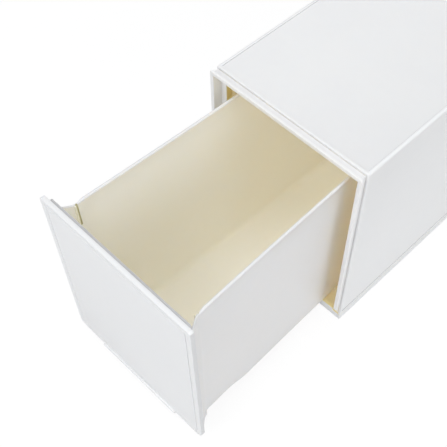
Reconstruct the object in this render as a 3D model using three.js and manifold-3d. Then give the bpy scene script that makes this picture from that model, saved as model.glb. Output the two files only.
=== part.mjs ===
// A stacking desk organizer: a tall, deep, white polypropylene case with one pull-out drawer.
// The case is a shell on a base tray, with a frame plugged into its mouth. The drawer is a tapered tub
// that flares out to its front, where a drawer front and a face plate are held on. All sizes are in
// millimetres, +Z is up, and the drawer opens towards -Y. The origin is the middle of the base's
// underside, on its centre pad.

import * as THREE from 'three';
import { mergeVertices } from 'three/addons/utils/BufferGeometryUtils.js';
import Module from 'manifold-3d';

// ---------- driving dimensions ----------

// Case
const caseWidth = 140;
const caseHeight = 188;
const caseDepth = 370;
const shellWall = 2.3; // wall of the shell where its border stands proud
const borderWidth = 2.6; // flat border left round each recessed outer panel
const panelRecess = 0.7; // how far each outer panel lies below its border
const shellEdgeRadius = 1.6; // rounding of the shell's long top edges
const seat = 0.3; // gap that two seated pieces keep

// Base tray
const baseHeight = 6; // edge band below the shell
const baseSkirt = 2; // wall of the skirt that stands on the surface
const baseFloor = 2; // floor plate
const sillHeight = 2.2; // front sill above the floor plate
const sillDepth = 3.5;
const railHeight = 2.5; // the drawer slides on two rails
const railWidth = 2.4;
const railSpacing = 80;
const guideHeight = 12; // upright ribs that keep the drawer straight
const guideWidth = 1.8;
const guideRunIn = 8; // sloped front end of a guide
const tongueHeight = 5; // rib inside the shell's lower edge
const tongueWall = 1.5;
const padSize = 14; // corner and centre pads under the tray
const underRibWall = 1.4;
const underRibCount = 5; // cross ribs under the tray
const underRibLift = 1; // every other rib stops this far above the surface

// Front frame
const flangeDepth = 2; // front to back
const flangeWidth = 3.2; // seen from the front
const frameReach = 6.8; // from the flange's face to the shell's mouth
const grooveDepth = 1.6; // shadow groove between flange and shell
const recessDepth = 8; // from the flange's face to the inner strip
const plugLength = 7; // part of the frame inside the shell
const frameWall = 1.6;
const stripWidth = 4.8; // inner strip at each side of the opening
const topStripWidth = 11.3; // inner strip over the opening
const legGap = 16; // the flange's legs stop this far above the base
const stripThickness = 1.8;

// Drawer
const drawerOut = 145.8; // how far the drawer is pulled out as shown
const tubSideGap = 3; // from the opening's side to the tub's wall at its widest
const tubTopGap = 4.2; // from the opening's top to the rim
const tubRearGap = 5.4; // from the closed tub to the shell's back
const tubNarrowing = 15.5; // how much narrower the rear end is
const tubWall = 1.6;
const tubFloor = 2;
const tubDraft = 2.2; // each wall leans out this much from floor to rim
const tubCornerRadius = 9;
const leastRadius = 1.5; // a corner drawn inwards keeps at least this much
const tubFloorRadius = 6;
const flareReach = 11; // the side walls spread towards the front over this length
const flareGap = 1.6; // from the frame's recess to the flare's edge
const flarePower = 1.35; // how late the flare spreads
const rimBead = 0.45; // how far the rim stands proud on each side
const rimBeadHeight = 2.4;
const beadStart = 12.5; // length of bare rim behind the front wall's face
const rimDrop = 1.5; // the rim is lower at the front
const dropStart = 10.5; // end of the low rim, from the front wall's face
const dropRun = 7.5; // length of the curve behind it
const frontLift = 6; // the floor is higher near the front
const liftStart = 36; // end of the raised part, from the front wall's face
const liftRun = 20; // length of the slope behind it
const skirtLength = 12; // depth of the skirts below the raised floor, one at each front corner
const skirtGap = 4; // from a skirt to the end of the pull ledge
const ribOffset = 9.2; // small upright rib inside each side wall, from the front wall's face
const ribWidth = 1.1;
const ribReach = 0.8;
const ribSink = 1.2; // how far a rib runs into its wall
const ribLength = 21;
const notchWidth = 1.4; // groove behind each of these ribs
const notchSink = 0.7;
const stopTravel = 160; // from the shown place to the front stop
const stopHeight = 6.4;
const stopLength = 8;

// Drawer front and face plate
const plateTopDrop = 8.5; // from the case's top to the plate's
const pullGap = 11.5; // finger room between the base and the plate
const plateThickness = 3.3;
const plateRadius = 2.4;
const plateLowerRadius = 7;
const plateBorder = 4.3; // outer edge to the groove
const grooveWidth = 0.8;
const grooveSink = 0.6;
const grooveRadius = 1;
const pullWidth = 82; // ledge along the lower edge
const pullDepth = 1.4;
const pullHeight = 2;
const backInset = 4.5; // the drawer front is smaller than the face plate all round
const backTopDrop = 1.6;
const backThickness = 2;
const pegRadius = 3.5; // pegs that hold the drawer front in the tub's front wall
const pegSideGap = 21; // from the tub's side in to the pegs
const pegFloorGap = 25; // from the tub's underside up to the lower pegs
const pegRimGap = 19; // from the rim down to the upper pegs
const pegStand = 0.8; // length of a peg inside the tub

// Shares of the tub's height
const liftTop = 0.25; // the raised floor shows in the walls up to here
const dropFoot = 0.6; // the low rim shows in the walls from here

// How finely curves are cut
const pegSides = 20;
const arcSteps = 5;
const cornerSteps = 5;
const filletSteps = 5;
const flareSteps = 6;
const dropSteps = 4;
const liftSteps = 8;
const rearSteps = 7;
const mergeDistance = 1e-5; // points closer than this are one point

// Finishes
const caseColour = 0xe9ebee;
const trayColour = 0xe4e6e8;
const frameColour = 0xf2f3f3;
const tubColour = 0xefe9da;
const backColour = 0xe9e6dc;
const plateColour = 0xf0f1f2;
const satinRoughness = 0.4;
const caseRoughness = 0.45;
const matteRoughness = 0.5;

// ---------- values that follow ----------

const halfCase = caseWidth / 2;
const shellInside = halfCase - shellWall;
const plugHalf = shellInside - seat;
const recessHalf = halfCase - flangeWidth;
const recessTop = caseHeight - flangeWidth;
const grooveHalf = halfCase - grooveDepth;
const plugTop = caseHeight - shellWall - seat;
const halfOpening = recessHalf - stripWidth;
const openingTop = recessTop - topStripWidth;
const legEnd = baseHeight + legGap;
const frameBack = frameReach - seat + plugLength;
const floorTop = baseHeight;
const sillTop = floorTop + sillHeight;
const halfPlate = halfCase;
const plateTop = caseHeight - plateTopDrop;
const plateBottom = baseHeight + pullGap;
const plateBack = -seat;
const plateFront = plateBack - plateThickness;
const backHalf = halfPlate - backInset;
const tubFront = backThickness + seat;
const tubLength = caseDepth - shellWall - tubRearGap - tubFront;
const tubFrontHalf = halfOpening - tubSideGap;
const flareOut = recessHalf - flareGap - tubFrontHalf;
const tubRim = openingTop - tubTopGap;
const tubBottom = floorTop + railHeight + seat;
const pegHalfSpacing = tubFrontHalf - pegSideGap;
const pegHeights = [tubBottom + pegFloorGap, tubRim - pegRimGap];
const dropEnd = dropStart + dropRun;
const liftEnd = liftStart + liftRun;
const skinShares = [liftTop / 2, liftTop, dropFoot, 1]; // levels of a wall between its floor and its rim
const overlap = 0.5; // how far joined solids run into each other
const beyond = 20; // how far a cutter runs past what it cuts

// ---------- solids ----------

const wasm = await Module();
wasm.setup();

function solid(geometry) {
  const plain = geometry.clone();
  plain.deleteAttribute('normal');
  plain.deleteAttribute('uv');
  const merged = mergeVertices(plain, mergeDistance);
  return new wasm.Manifold(new wasm.Mesh({
    numProp: 3,
    vertProperties: new Float32Array(merged.attributes.position.array),
    triVerts: new Uint32Array(merged.index.array),
  }));
}

function joined(solids) {
  return solids.reduce((whole, piece) => whole.add(piece));
}

function geometryOf(manifold) {
  const { vertProperties, triVerts } = manifold.getMesh();
  const geometry = new THREE.BufferGeometry();
  geometry.setAttribute('position', new THREE.BufferAttribute(new Float32Array(vertProperties), 3));
  geometry.setIndex(new THREE.BufferAttribute(new Uint32Array(triVerts), 1));
  geometry.computeVertexNormals();
  return geometry;
}

function named(name, manifold, material) {
  const mesh = new THREE.Mesh(geometryOf(manifold), material);
  mesh.name = name;
  return mesh;
}

function block(x0, x1, y0, y1, z0, z1) {
  const geometry = new THREE.BoxGeometry(x1 - x0, y1 - y0, z1 - z0);
  geometry.translate((x0 + x1) / 2, (y0 + y1) / 2, (z0 + z1) / 2);
  return solid(geometry);
}

// A front-view outline with its own radius at the top and the bottom corners.
function panelOutline(halfWidth, bottom, top, topRadius, bottomRadius) {
  const shape = new THREE.Shape();
  shape.moveTo(-halfWidth + bottomRadius, bottom);
  shape.lineTo(halfWidth - bottomRadius, bottom);
  if (bottomRadius) {
    shape.absarc(halfWidth - bottomRadius, bottom + bottomRadius, bottomRadius, -Math.PI / 2, 0);
  }
  shape.lineTo(halfWidth, top - topRadius);
  if (topRadius) {
    shape.absarc(halfWidth - topRadius, top - topRadius, topRadius, 0, Math.PI / 2);
  }
  shape.lineTo(-halfWidth + topRadius, top);
  if (topRadius) {
    shape.absarc(-halfWidth + topRadius, top - topRadius, topRadius, Math.PI / 2, Math.PI);
  }
  shape.lineTo(-halfWidth, bottom + bottomRadius);
  if (bottomRadius) {
    shape.absarc(-halfWidth + bottomRadius, bottom + bottomRadius, bottomRadius, Math.PI, Math.PI * 1.5);
  }
  return shape;
}

// Extrudes a front-view outline from y0 back to y1.
function slab(shape, y0, y1) {
  const settings = { depth: y1 - y0, bevelEnabled: false, curveSegments: arcSteps };
  const geometry = new THREE.ExtrudeGeometry(shape, settings);
  geometry.rotateX(Math.PI / 2);
  geometry.translate(0, y1, 0);
  return solid(geometry);
}

function plainSlab(halfWidth, bottom, top, y0, y1) {
  return block(-halfWidth, halfWidth, y0, y1, bottom, top);
}

function mirrored(manifoldAt) {
  return joined([manifoldAt(-1), manifoldAt(1)]);
}

// A block given on the right-hand side, and its twin on the left.
function pairOfBlocks(x0, x1, y0, y1, z0, z1) {
  return joined([block(x0, x1, y0, y1, z0, z1), block(-x1, -x0, y0, y1, z0, z1)]);
}

// ---------- case shell: top, sides and back in one moulding ----------

function caseShell() {
  const bottom = baseHeight + seat;
  const outline = panelOutline(halfCase, bottom, caseHeight, shellEdgeRadius, 0);
  const outside = slab(outline, frameReach, caseDepth);
  const inside = plainSlab(
    shellInside, bottom - beyond, caseHeight - shellWall, frameReach - beyond, caseDepth - shellWall,
  );
  const front = frameReach + borderWidth;
  const back = caseDepth - borderWidth;
  const low = bottom + borderWidth;
  const high = caseHeight - borderWidth;
  const sideRecess = pairOfBlocks(halfCase - panelRecess, halfCase + beyond, front, back, low, high);
  const panelHalf = halfCase - borderWidth;
  const topRecess = plainSlab(panelHalf, caseHeight - panelRecess, caseHeight + beyond, front, back);
  const backRecess = plainSlab(panelHalf, low, high, caseDepth - panelRecess, caseDepth + beyond);
  return outside.subtract(inside).subtract(sideRecess).subtract(topRecess).subtract(backRecess);
}

// ---------- base tray: floor, rails, guides and the ribs it stands on ----------

function guideRib(side) {
  const x = side * (halfOpening - guideWidth);
  const profile = new THREE.Shape();
  const start = frameBack + guideRunIn;
  const end = caseDepth - shellWall - guideRunIn;
  profile.moveTo(start, floorTop - overlap);
  profile.lineTo(end, floorTop - overlap);
  profile.lineTo(end, floorTop + guideHeight);
  profile.lineTo(start + guideRunIn, floorTop + guideHeight);
  profile.quadraticCurveTo(start, floorTop + guideHeight, start, floorTop);
  const settings = { depth: guideWidth, bevelEnabled: false, curveSegments: arcSteps };
  const geometry = new THREE.ExtrudeGeometry(profile, settings);
  geometry.rotateX(Math.PI / 2);
  geometry.rotateZ(Math.PI / 2);
  geometry.translate(x + (side > 0 ? 0 : -guideWidth), 0, 0);
  return solid(geometry);
}

function baseTray() {
  const front = frameReach;
  const back = caseDepth;
  const body = block(-halfCase, halfCase, front, back, 0, floorTop);
  const hollow = plainSlab(
    halfCase - baseSkirt, -beyond, floorTop - baseFloor, front + baseSkirt, back - baseSkirt,
  );
  const pieces = [body.subtract(hollow)];
  const sill = block(-halfOpening, halfOpening, front, front + sillDepth, floorTop - overlap, sillTop);
  pieces.push(sill);
  const railStart = front + sillDepth - overlap;
  const railEnd = caseDepth - shellWall - seat;
  const railIn = (railSpacing - railWidth) / 2;
  const railTop = floorTop + railHeight;
  pieces.push(pairOfBlocks(railIn, railIn + railWidth, railStart, railEnd, floorTop - overlap, railTop));
  pieces.push(mirrored(guideRib));
  const tongueOut = shellInside - seat;
  const tongueStart = frameBack + seat;
  const tongueEnd = caseDepth - shellWall - seat;
  const tongueTop = floorTop + tongueHeight;
  pieces.push(pairOfBlocks(
    tongueOut - tongueWall, tongueOut, tongueStart, tongueEnd, floorTop - overlap, tongueTop,
  ));
  pieces.push(block(-tongueOut, tongueOut, tongueEnd - tongueWall, tongueEnd, floorTop - overlap, tongueTop));
  const ribTop = floorTop - baseFloor + overlap;
  for (let i = 1; i <= underRibCount; i += 1) {
    const y = front + ((back - front) * i) / (underRibCount + 1);
    const ribFoot = i % 2 ? underRibLift : 0;
    pieces.push(plainSlab(
      halfCase - overlap, ribFoot, ribTop, y - underRibWall / 2, y + underRibWall / 2,
    ));
  }
  pieces.push(plainSlab(underRibWall / 2, underRibLift, ribTop, front + overlap, back - overlap));
  const padHalf = padSize / 2;
  pieces.push(block(-padHalf, padHalf, caseDepth / 2 - padHalf, caseDepth / 2 + padHalf, 0, ribTop));
  for (const y of [front + overlap, back - overlap - padSize]) {
    pieces.push(pairOfBlocks(halfCase - overlap - padSize, halfCase - overlap, y, y + padSize, 0, ribTop));
  }
  return joined(pieces);
}

// ---------- front frame: flange, shadow groove, recess and the inner strip ----------

function frontFrame() {
  const shoulder = frameReach - seat;
  const flange = slab(panelOutline(halfCase, legEnd, caseHeight, shellEdgeRadius, 0), 0, flangeDepth);
  const neck = plainSlab(grooveHalf, legEnd, caseHeight - grooveDepth, flangeDepth - overlap, shoulder);
  const legFoot = sillTop + seat;
  const plug = plainSlab(plugHalf, legFoot, plugTop, shoulder - overlap, frameBack);
  const recess = plainSlab(recessHalf, -beyond, recessTop, -beyond, recessDepth);
  const pocketOut = plugHalf - frameWall;
  const collarHalf = halfOpening + frameWall;
  const collarTop = openingTop + frameWall;
  const stripBack = recessDepth + stripThickness;
  const collar = plainSlab(collarHalf, -beyond * 2, collarTop, stripBack - beyond, frameBack + beyond * 2);
  const pocket = plainSlab(pocketOut, -beyond, plugTop - frameWall, stripBack, frameBack + beyond)
    .subtract(collar);
  const opening = plainSlab(halfOpening, -beyond, openingTop, -beyond, frameBack + beyond);
  return joined([flange, neck, plug]).subtract(recess).subtract(pocket).subtract(opening);
}

// ---------- drawer tub: tapered in plan, drafted, flared at the front, with a filleted floor ----------

// Half the tub's outer width at the rim without its flare, at a distance behind the front wall's face.
function tubHalfWidth(distance) {
  const share = THREE.MathUtils.clamp(distance / tubLength, 0, 1);
  return tubFrontHalf - (tubNarrowing / 2) * share * (2 - share);
}

// A smooth step from 1 in front of start to 0 at the end of the run behind it.
function fadeBehind(distance, start, run) {
  const t = THREE.MathUtils.clamp((start + run - distance) / run, 0, 1);
  return t * t * (3 - 2 * t);
}

// Half the width of the outline drawn in by inset, on a level that leans in by draft.
function sideEdge(distance, inset, draft) {
  const flare = THREE.MathUtils.clamp(1 - distance / flareReach, 0, 1) ** flarePower;
  return tubHalfWidth(distance) - inset - draft + (flareOut + draft) * flare;
}

// Places along a side wall, closer together where its shape changes.
function sideStations(first, last) {
  const marks = [first, flareReach, dropEnd, liftEnd, last];
  const steps = [flareSteps, dropSteps, liftSteps, rearSteps];
  const stations = [first];
  steps.forEach((count, part) => {
    for (let i = 1; i <= count; i += 1) {
      stations.push(THREE.MathUtils.lerp(marks[part], marks[part + 1], i / count));
    }
  });
  return stations;
}

// The tub's plan outline drawn in by inset, as points that run anticlockwise. The front wall is upright,
// so the draft moves only the sides and the rear.
function tubOutline(inset, draft) {
  const radius = Math.max(tubCornerRadius - inset - draft, leastRadius);
  const rearCentre = tubLength - inset - draft - radius;
  const right = sideStations(inset, rearCentre).map((y) => [sideEdge(y, inset, draft), y]);
  for (let i = 1; i <= cornerSteps; i += 1) {
    const angle = (Math.PI / 2) * (i / cornerSteps);
    const y = rearCentre + radius * Math.sin(angle);
    right.push([sideEdge(y, inset, draft) - radius + radius * Math.cos(angle), y]);
  }
  const left = right.map(([x, y]) => [-x, y]).reverse();
  return [...right, ...left];
}

// A closed solid through the plan outlines given by levels of { inset, draft, z }, from the lowest up.
function tubLoft(levels) {
  const rings = levels.map(({ inset, draft, z }) => tubOutline(inset, draft).map(([x, y]) => {
    const height = (z - tubBottom) / (tubRim - tubBottom);
    const lower = THREE.MathUtils.clamp(1 - height / liftTop, 0, 1);
    const upper = THREE.MathUtils.clamp((height - dropFoot) / (1 - dropFoot), 0, 1);
    const lift = frontLift * fadeBehind(y, liftStart, liftRun) * lower;
    const drop = rimDrop * fadeBehind(y, dropStart, dropRun) * upper;
    return [x, tubFront + y, z + lift - drop];
  }));
  const count = rings[0].length;
  const points = rings.flat();
  const faces = [];
  for (let level = 0; level + 1 < rings.length; level += 1) {
    for (let i = 0; i < count; i += 1) {
      const a = level * count + i;
      const b = level * count + ((i + 1) % count);
      faces.push(a, b, b + count, a, b + count, a + count);
    }
  }
  const half = count / 2;
  const top = (rings.length - 1) * count;
  for (let i = 0; i + 1 < half; i += 1) {
    const across = count - 1 - i;
    faces.push(i, across, i + 1, i + 1, across, across - 1);
    faces.push(top + i, top + i + 1, top + across, top + i + 1, top + across - 1, top + across);
  }
  const geometry = new THREE.BufferGeometry();
  geometry.setAttribute('position', new THREE.BufferAttribute(new Float32Array(points.flat()), 3));
  geometry.setIndex(faces);
  return solid(geometry);
}

// How far a wall of the tub stands inside its rim at a height.
function draftAt(z) {
  return tubDraft * (1 - (z - tubBottom) / (tubRim - tubBottom));
}

// The levels of a tub skin: round at the floor, then straight up along the drafted wall.
function skinLevels(extraInset, floor, top, radius) {
  const levels = [];
  for (let i = 0; i <= filletSteps; i += 1) {
    const angle = (Math.PI / 2) * (i / filletSteps);
    const z = floor + radius * (1 - Math.cos(angle));
    levels.push({ inset: extraInset + radius * (1 - Math.sin(angle)), draft: draftAt(z), z });
  }
  for (const share of skinShares) {
    const z = THREE.MathUtils.lerp(floor + radius, top, share);
    levels.push({ inset: extraInset, draft: draftAt(z), z });
  }
  return levels;
}

// An upright prism over the tub's outline; its ends follow the raised floor and the low rim.
function tubPrism(inset, draft, low, high) {
  return tubLoft([{ inset, draft, z: low }, { inset, draft, z: high }]);
}

// The thickened rim, from a little behind the front round the rear.
function rimBand() {
  const low = tubRim - rimBeadHeight;
  return tubPrism(-rimBead, 0, low, tubRim)
    .subtract(tubPrism(tubWall + rimBead, 0, low - beyond, tubRim + beyond))
    .subtract(plainSlab(halfCase, 0, caseHeight, tubFront - beyond, tubFront + beadStart));
}

// At each side the front wall and the flare go on below the raised floor, as a skirt. The middle stays
// open, so that fingers reach behind the face plate.
function frontSkirt() {
  const raisedFloor = tubBottom + frontLift;
  const high = raisedFloor + tubFloorRadius;
  const front = tubFront + skirtLength;
  const prism = (inset) => tubPrism(inset, draftAt(raisedFloor), tubBottom - beyond, high + beyond);
  const fingerRoom = plainSlab(pullWidth / 2 + skirtGap, -beyond, raisedFloor, -beyond, front + beyond);
  return prism(0)
    .subtract(prism(tubWall))
    .intersect(plainSlab(halfCase, tubBottom, high, 0, front))
    .subtract(fingerRoom);
}

// One of the upright ribs just inside the side walls, from its front end back by length.
function wallRib(front, length, inner, outer) {
  const low = tubRim - rimDrop - ribLength;
  const high = tubRim - rimDrop - seat;
  const wallFace = tubHalfWidth(ribOffset) - tubWall;
  return pairOfBlocks(wallFace + inner, wallFace + outer, front, front + length, low, high);
}

function peg(x, z, radius, y0, y1) {
  const geometry = new THREE.CylinderGeometry(radius, radius, y1 - y0, pegSides);
  geometry.translate(x, (y0 + y1) / 2, z);
  return solid(geometry);
}

function pegs(radius, y0, y1) {
  const places = pegHeights.flatMap((z) => [[-pegHalfSpacing, z], [pegHalfSpacing, z]]);
  return joined(places.map(([x, z]) => peg(x, z, radius, y0, y1)));
}

function drawerTub() {
  const skin = tubLoft(skinLevels(0, tubBottom, tubRim, tubFloorRadius - tubFloor));
  const hollow = tubLoft(skinLevels(tubWall, tubBottom + tubFloor, tubRim + beyond, tubFloorRadius));
  const stopFront = frameBack + seat + stopTravel + drawerOut;
  const stopX = tubHalfWidth(stopFront - tubFront);
  const stops = pairOfBlocks(
    stopX - tubWall, stopX, stopFront, stopFront + stopLength, tubRim - overlap, tubRim + stopHeight,
  );
  const ribFront = tubFront + ribOffset;
  const notches = wallRib(ribFront + ribWidth, notchWidth, -tubWall, notchSink);
  return joined([skin.subtract(hollow), rimBand(), frontSkirt(), stops])
    .add(wallRib(ribFront, ribWidth, -ribReach, ribSink))
    .subtract(notches)
    .subtract(pegs(pegRadius + seat, tubFront - overlap, tubFront + tubWall + overlap));
}

// ---------- drawer front: the backing behind the face plate ----------

function drawerFront() {
  const bottom = plateBottom + backTopDrop;
  const top = plateTop - backTopDrop;
  const sheet = slab(panelOutline(backHalf, bottom, top, plateRadius, plateLowerRadius), 0, backThickness);
  return sheet.add(pegs(pegRadius, backThickness - overlap, tubFront + tubWall + pegStand));
}

// ---------- face plate ----------

function facePlate() {
  const plate = slab(
    panelOutline(halfPlate, plateBottom, plateTop, plateRadius, plateLowerRadius), plateFront, plateBack,
  );
  const line = (inset, y0, y1) => {
    const lowerRadius = plateLowerRadius - inset + grooveRadius;
    const outline = panelOutline(
      halfPlate - inset, plateBottom + inset, plateTop - inset, grooveRadius, lowerRadius,
    );
    return slab(outline, y0, y1);
  };
  const groove = line(plateBorder, plateFront - beyond, plateFront + grooveSink)
    .subtract(line(plateBorder + grooveWidth, plateFront - beyond * 2, plateFront + beyond));
  const ledge = plainSlab(
    pullWidth / 2, plateBottom, plateBottom + pullHeight, plateFront - pullDepth, plateFront + overlap,
  );
  return plate.subtract(groove).add(ledge);
}

// ---------- assembly ----------

function plastic(color, roughness) {
  return new THREE.MeshStandardMaterial({ color, roughness, metalness: 0 });
}

const organizer = new THREE.Group();
organizer.position.y = -caseDepth / 2;
organizer.add(named('case_shell', caseShell(), plastic(caseColour, caseRoughness)));
organizer.add(named('base_tray', baseTray(), plastic(trayColour, matteRoughness)));
organizer.add(named('front_frame', frontFrame(), plastic(frameColour, satinRoughness)));

const drawer = new THREE.Group();
drawer.position.y = -drawerOut;
drawer.add(named('drawer_tub', drawerTub(), plastic(tubColour, matteRoughness)));
drawer.add(named('drawer_front', drawerFront(), plastic(backColour, matteRoughness)));
drawer.add(named('face_plate', facePlate(), plastic(plateColour, satinRoughness)));
organizer.add(drawer);

const group = new THREE.Group();
group.add(organizer);

export default group;
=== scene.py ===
# %% [markdown]
# # A white desk organizer with one drawer
#
# This lesson dresses a moulded polypropylene storage case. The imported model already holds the
# right sizes and the drawer's slide. Here the edges get their small radii, the drawer tub becomes a
# smooth thin-walled moulding, and the plastic gets its satin, slightly milky finish.

# %% Load the frame
import math

import bmesh
import bpy
from mathutils import Matrix, Vector


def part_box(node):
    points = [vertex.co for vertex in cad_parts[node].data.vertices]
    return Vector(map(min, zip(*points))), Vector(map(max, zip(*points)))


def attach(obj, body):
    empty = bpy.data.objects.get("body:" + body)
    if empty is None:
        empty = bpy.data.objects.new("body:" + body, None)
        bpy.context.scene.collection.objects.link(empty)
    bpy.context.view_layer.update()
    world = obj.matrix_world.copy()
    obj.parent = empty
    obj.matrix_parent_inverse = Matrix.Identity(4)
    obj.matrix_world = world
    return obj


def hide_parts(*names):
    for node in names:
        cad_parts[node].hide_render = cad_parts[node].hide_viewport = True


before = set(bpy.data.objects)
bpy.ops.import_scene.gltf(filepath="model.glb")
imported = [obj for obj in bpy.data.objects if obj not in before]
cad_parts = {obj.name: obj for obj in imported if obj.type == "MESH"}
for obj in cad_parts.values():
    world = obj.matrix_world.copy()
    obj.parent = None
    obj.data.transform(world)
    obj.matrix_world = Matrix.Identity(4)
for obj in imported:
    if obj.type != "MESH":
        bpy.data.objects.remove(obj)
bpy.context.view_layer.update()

# %% [markdown]
# ## Sizes
#
# Every place comes from the boxes of the imported nodes. The few sizes that a box can't tell, such as
# the wall of the shell or the radius of an edge, are named once, in metres: the shared ones here and
# the others in the steps that use them.

# %% Named sizes
MM = 0.001

tub_low, tub_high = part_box("drawer_tub")
shell_low, shell_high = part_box("case_shell")
frame_low, frame_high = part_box("front_frame")
tray_low, tray_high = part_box("base_tray")
plate_low, plate_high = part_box("face_plate")
back_low, back_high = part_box("drawer_front")

shell_wall = 2.3 * MM
border_width = 2.6 * MM
flange_depth = 2.0 * MM
recess_depth = 8.0 * MM
edge_radius = 0.3 * MM
print("case", [round(v, 4) for v in shell_high - shell_low])
print("plate", [round(v, 4) for v in plate_high - plate_low])

# %% [markdown]
# ## The camera
#
# The object is seen from its right-hand front corner, from well above, with the drawer pulled out
# towards the lower left. A long lens keeps the edges nearly parallel.

# %% Camera
camera_azimuth = math.radians(41.770)
camera_elevation = math.radians(57.233)
camera_roll = math.radians(2.815)
camera_place = Vector((0.24303, -0.46492, 0.58395))


def camera_axes(azimuth, elevation, roll):
    """The camera's right, up and backward directions."""
    level = math.cos(elevation)
    back = Vector((math.sin(azimuth) * level, -math.cos(azimuth) * level, math.sin(elevation)))
    right = Vector((0, 0, 1)).cross(back).normalized()
    up = back.cross(right)
    turned_right = math.cos(roll) * right + math.sin(roll) * up
    turned_up = math.cos(roll) * up - math.sin(roll) * right
    return turned_right, turned_up, back


camera_data = bpy.data.cameras.new("camera")
camera_data.lens = 64.37
camera_data.sensor_width = 36
camera_data.shift_x = -0.0980
camera_data.shift_y = 0.1008
camera_data.clip_start = 0.01
camera = bpy.data.objects.new("camera", camera_data)
axes = camera_axes(camera_azimuth, camera_elevation, camera_roll)
camera.matrix_world = Matrix.Translation(camera_place) @ Matrix(axes).transposed().to_4x4()
bpy.context.scene.collection.objects.link(camera)
bpy.context.scene.camera = camera
print("camera at", tuple(round(v, 3) for v in camera_place))

# %% [markdown]
# ## Node helpers
#
# A material is a small graph. These helpers add a node, set its numbers and link it, so that each
# finish below reads as a short list of what it is made of.

# %% Node helpers


def feed(tree, socket, value):
    """Gives a node's input its value, or links it where the value is another node's socket."""
    if isinstance(value, bpy.types.NodeSocket):
        tree.links.new(value, socket)
    else:
        socket.default_value = value


def add_node(tree, kind, **inputs):
    """Adds a node and feeds its inputs by name, with _ for a space."""
    node = tree.nodes.new(kind)
    for name, value in inputs.items():
        feed(tree, node.inputs[name.replace("_", " ")], value)
    return node


def math_of(tree, operation, *values):
    """The result of a Math node over sockets or numbers."""
    node = tree.nodes.new("ShaderNodeMath")
    node.operation = operation
    for socket, value in zip(node.inputs, values):
        feed(tree, socket, value)
    return node.outputs["Value"]


print("add_node places a node and feeds it")

# %% Helpers for colours and shaders


def mixed_shaders(tree, share, first, second):
    """Two shaders in one: at share 0 it is the first, and at share 1 the second."""
    node = tree.nodes.new("ShaderNodeMixShader")
    feed(tree, node.inputs["Fac"], share)
    tree.links.new(first, node.inputs[1])
    tree.links.new(second, node.inputs[2])
    return node.outputs["Shader"]


def colour_ramp(tree, factor, stops):
    """A Color Ramp through stops of (position, colour)."""
    node = tree.nodes.new("ShaderNodeValToRGB")
    tree.links.new(factor, node.inputs["Fac"])
    elements = node.color_ramp.elements
    while len(elements) < len(stops):
        elements.new(0.5)
    for element, (position, colour) in zip(elements, stops):
        element.position = position
        element.color = (*colour, 1)
    return node.outputs["Color"]


def value_range(tree, value, from_min, from_max, to_min, to_max):
    """Maps a value from one range to another and holds it there."""
    node = add_node(
        tree, "ShaderNodeMapRange", Value=value, From_Min=from_min, From_Max=from_max,
        To_Min=to_min, To_Max=to_max,
    )
    return node.outputs["Result"]


print("shaders mix, colours ramp and values map to ranges")

# %% [markdown]
# ## Polypropylene
#
# The whole case is polypropylene, a plastic that is white but slightly milky: some light sinks in,
# scatters and comes out again near by. It could be a plain white surface, but then the thin walls
# would look like painted metal. So the material mixes two close colours with soft noise, scatters part
# of its light below the surface, and bumps the surface twice: wide faint waves along the flow of the
# melt, and the very fine satin grain that the mould leaves.

# %% Grain and milkiness
cloud_scale = 22.0
cloud_share = 0.7
mottle_scale = 160.0
deep_at = 0.38
pale_at = 0.62
gloss_from = 0.35
gloss_to = 0.65
smoother = 0.05
rougher = 0.06
flow_scale = 9.0
flow_stretch = (1.0, 0.25, 1.0)
flow_strength = 0.12
flow_depth = 1.2 * MM
satin_scale = 1900.0
satin_depth = 0.12 * MM
refraction = 1.49
creep_length = 3.0 * MM
creep_colours = (1.0, 0.9, 0.8)
print("clouds", 1 / cloud_scale, "m apart, grain", round(1 / satin_scale, 5), "m apart")

# %% Polypropylene material


def polypropylene(name, pale, deep, milkiness, roughness, grain):
    """A satin moulded plastic: pale and deep are its two close colours."""
    material = bpy.data.materials.new(name)
    material.use_nodes = True
    tree = material.node_tree
    shader = tree.nodes["Principled BSDF"]
    place = tree.nodes.new("ShaderNodeTexCoord").outputs["Object"]
    cloud = add_node(tree, "ShaderNodeTexNoise", Vector=place, Scale=cloud_scale, Detail=3.0)
    mottle = add_node(tree, "ShaderNodeTexNoise", Vector=place, Scale=mottle_scale, Detail=4.0)
    fine = math_of(tree, "MULTIPLY", mottle.outputs["Fac"], 1 - cloud_share)
    tone = math_of(tree, "MULTIPLY_ADD", cloud.outputs["Fac"], cloud_share, fine)
    colour = colour_ramp(tree, tone, [(deep_at, deep), (pale_at, pale)])
    tree.links.new(colour, shader.inputs["Base Color"])

    gloss = value_range(
        tree, cloud.outputs["Fac"], gloss_from, gloss_to, roughness - smoother, roughness + rougher,
    )
    tree.links.new(gloss, shader.inputs["Roughness"])

    along_flow = add_node(tree, "ShaderNodeMapping", Vector=place, Scale=flow_stretch)
    flow = add_node(
        tree, "ShaderNodeTexNoise", Vector=along_flow.outputs["Vector"], Scale=flow_scale, Detail=1.0,
    )
    satin = add_node(tree, "ShaderNodeTexNoise", Vector=place, Scale=satin_scale, Detail=2.0)
    waves = add_node(
        tree, "ShaderNodeBump", Strength=flow_strength, Distance=flow_depth,
        Height=flow.outputs["Fac"],
    )
    surface = add_node(
        tree, "ShaderNodeBump", Strength=grain, Distance=satin_depth, Height=satin.outputs["Fac"],
        Normal=waves.outputs["Normal"],
    )
    tree.links.new(surface.outputs["Normal"], shader.inputs["Normal"])

    shader.inputs["IOR"].default_value = refraction
    shader.inputs["Subsurface Weight"].default_value = milkiness
    shader.inputs["Subsurface Radius"].default_value = creep_colours
    shader.inputs["Subsurface Scale"].default_value = creep_length
    return material


print("a plastic takes a name, two colours, milkiness, roughness and grain")
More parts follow.
